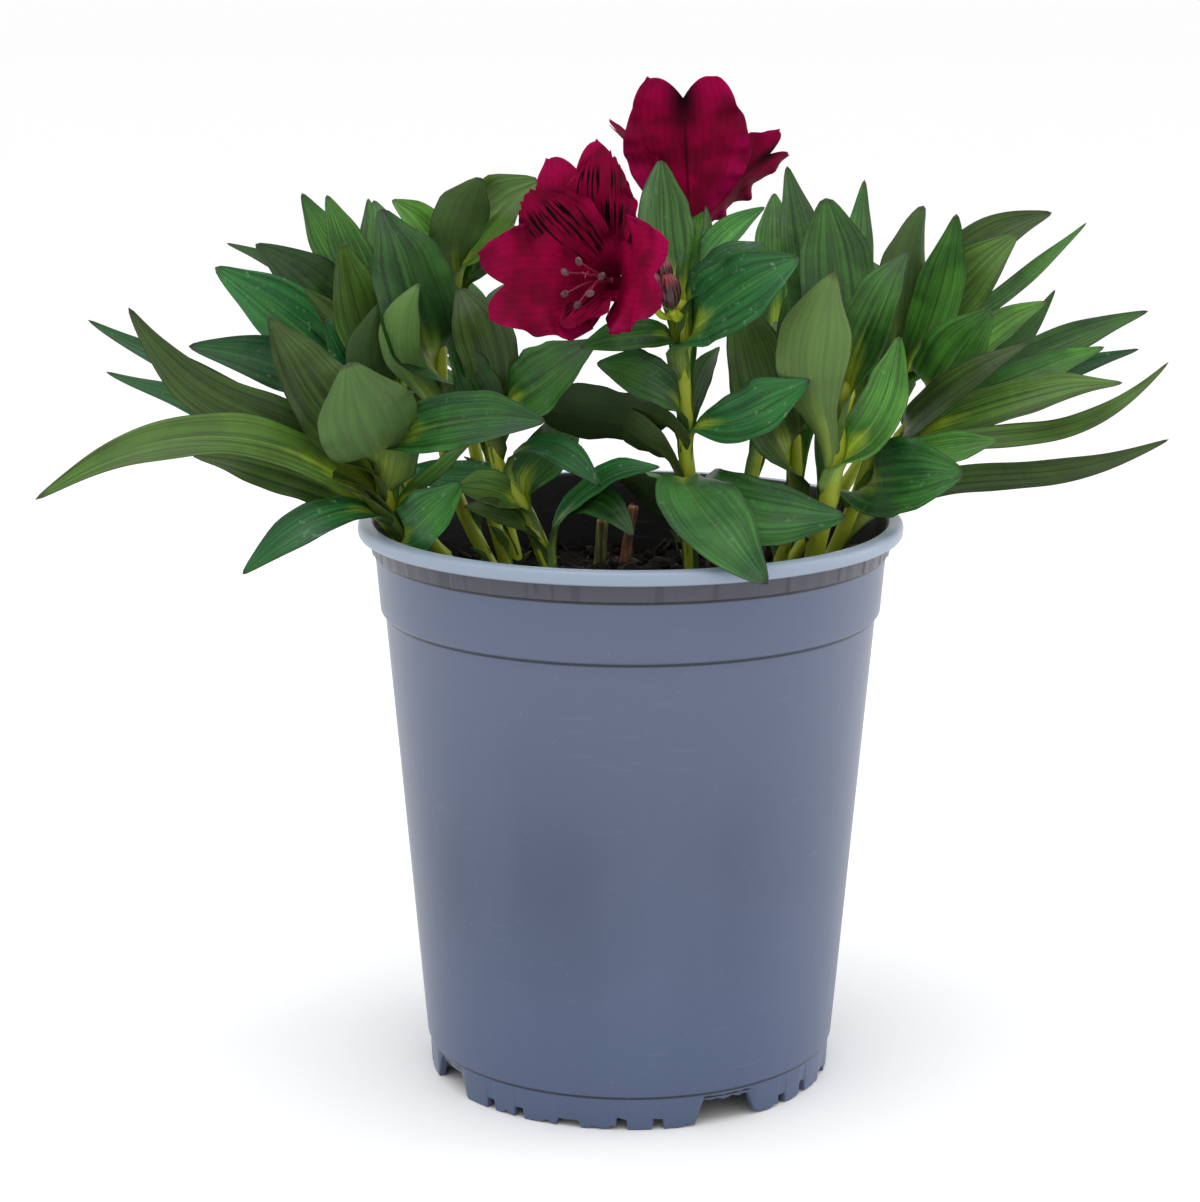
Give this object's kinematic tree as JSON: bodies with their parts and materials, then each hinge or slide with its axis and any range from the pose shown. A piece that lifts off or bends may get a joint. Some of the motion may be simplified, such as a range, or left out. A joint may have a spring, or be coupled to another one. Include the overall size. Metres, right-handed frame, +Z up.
{
  "type": "potted peruvian lily",
  "caption": "Potted dwarf peruvian lily: leafy shoots and open crimson flowers standing in potting soil in a round plastic nursery pot.",
  "frame": {"origin": "on the pot's axis at the bottom of its foot", "axes": "+Z up along the pot's axis, +X to the right and +Y to the back as the picture shows the plant from its front"},
  "size_m": [0.341, 0.1745, 0.3103],
  "materials": {
    "pot_plastic": "smooth moulded blue-grey plastic with a soft sheen",
    "soil_mix": "damp crumbly peat and bark",
    "leaf": "smooth half-glossy green leaf with fine parallel veins",
    "tepal": "velvety crimson petal with dark streaks",
    "stamen": "dull pink filament with grey-pink pollen sac",
    "bud": "waxy dark maroon bud",
    "dry_stem": "dry fibrous stem"
  },
  "bodies": {
    "root": {"pot": "pot_plastic", "potting_soil": "soil_mix", "left_front_shoot": "leaf", "left_back_shoot": "leaf", "left_centre_shoot": "leaf", "upper_left_shoot": "leaf", "small_front_shoot": "leaf", "flowering_stem": "leaf", "right_front_shoot": "leaf", "right_low_shoot": "leaf", "right_middle_shoot": "leaf", "right_back_shoot": "leaf", "centre_right_shoot": "leaf", "back_left_shoot": "leaf", "back_right_shoot": "leaf", "young_back_sprout": "leaf", "front_bloom_tepals": "tepal", "front_bloom_stamens": "stamen", "rear_bloom_tepals": "tepal", "rear_bloom_stamens": "stamen", "flower_buds": "bud", "olive_cut_stub": "dry_stem", "brown_cut_stub": "dry_stem"}
  },
  "joints": []
}
